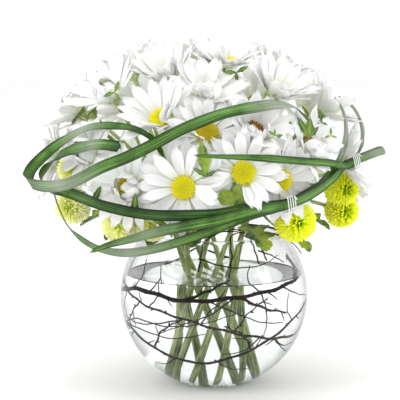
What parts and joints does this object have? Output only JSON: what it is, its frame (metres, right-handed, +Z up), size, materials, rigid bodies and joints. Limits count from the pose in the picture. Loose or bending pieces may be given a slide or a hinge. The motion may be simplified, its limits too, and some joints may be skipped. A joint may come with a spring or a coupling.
{
  "type": "floral table centerpiece",
  "caption": "Dome of white daisies and green button poms in a water-filled glass bubble bowl, ringed by looped grass blades, with twigs coiled inside the glass.",
  "frame": {"origin": "centre of the bowl's flat foot, on the table", "axes": "+Z up; the front of the arrangement, with the low grass tie, faces -Y, and +X is to its right"},
  "size_m": [0.2734, 0.2564, 0.2683],
  "materials": {
    "glass": "clear polished",
    "water": "clear still water",
    "petal_white": "soft matte petal",
    "disc_yellow": "matte florets",
    "pom_lime": "matte florets",
    "stem_green": "satin stem and leaf",
    "grass_green": "satin blade with lengthwise veins",
    "tie_wire": "fine pale wire",
    "twig_bark": "dark bark"
  },
  "bodies": {
    "root": {"glass_bowl": "glass", "grass_sweep": "grass_green", "grass_loop": "grass_green", "grass_hoop": "grass_green", "grass_fold": "grass_green", "tie_low": "tie_wire", "tie_right": "tie_wire", "twig_upper": "twig_bark", "twig_lower": "twig_bark", "twig_cross": "twig_bark", "water": "water", "daisy_front_disc_1": "disc_yellow", "daisy_front_disc_2": "disc_yellow", "daisy_front_disc_3": "disc_yellow", "daisy_front_disc_4": "disc_yellow", "daisy_crown_disc_1": "disc_yellow", "daisy_crown_disc_2": "disc_yellow", "daisy_crown_disc_3": "disc_yellow", "daisy_crown_disc_4": "disc_yellow", "daisy_crown_disc_5": "disc_yellow", "daisy_right_disc_1": "disc_yellow", "daisy_right_disc_2": "disc_yellow", "daisy_right_disc_3": "disc_yellow", "daisy_right_disc_4": "disc_yellow", "daisy_right_disc_5": "disc_yellow", "daisy_left_disc_1": "disc_yellow", "daisy_left_disc_2": "disc_yellow", "daisy_left_disc_3": "disc_yellow", "daisy_left_disc_4": "disc_yellow", "daisy_top_disc_1": "disc_yellow", "daisy_top_disc_2": "disc_yellow", "daisy_top_disc_3": "disc_yellow", "daisy_top_disc_4": "disc_yellow", "daisy_top_disc_5": "disc_yellow", "daisy_rear_disc_1": "disc_yellow", "daisy_rear_disc_2": "disc_yellow", "daisy_rear_disc_3": "disc_yellow", "daisy_rear_disc_4": "disc_yellow", "daisy_far_disc_1": "disc_yellow", "daisy_far_disc_2": "disc_yellow", "daisy_far_disc_3": "disc_yellow", "daisy_far_disc_4": "disc_yellow", "daisy_far_disc_5": "disc_yellow", "pom_left_spray": "pom_lime", "pom_right_spray": "pom_lime", "pom_rear_spray": "pom_lime", "daisy_front_stem": "stem_green", "daisy_crown_stem": "stem_green", "daisy_right_stem": "stem_green", "daisy_left_stem": "stem_green", "daisy_top_stem": "stem_green", "daisy_rear_stem": "stem_green", "daisy_far_stem": "stem_green", "daisy_front_petals": "petal_white", "daisy_crown_petals": "petal_white", "daisy_right_petals": "petal_white", "daisy_left_petals": "petal_white", "daisy_top_petals": "petal_white", "daisy_rear_petals": "petal_white", "daisy_far_petals": "petal_white"}
  },
  "joints": []
}
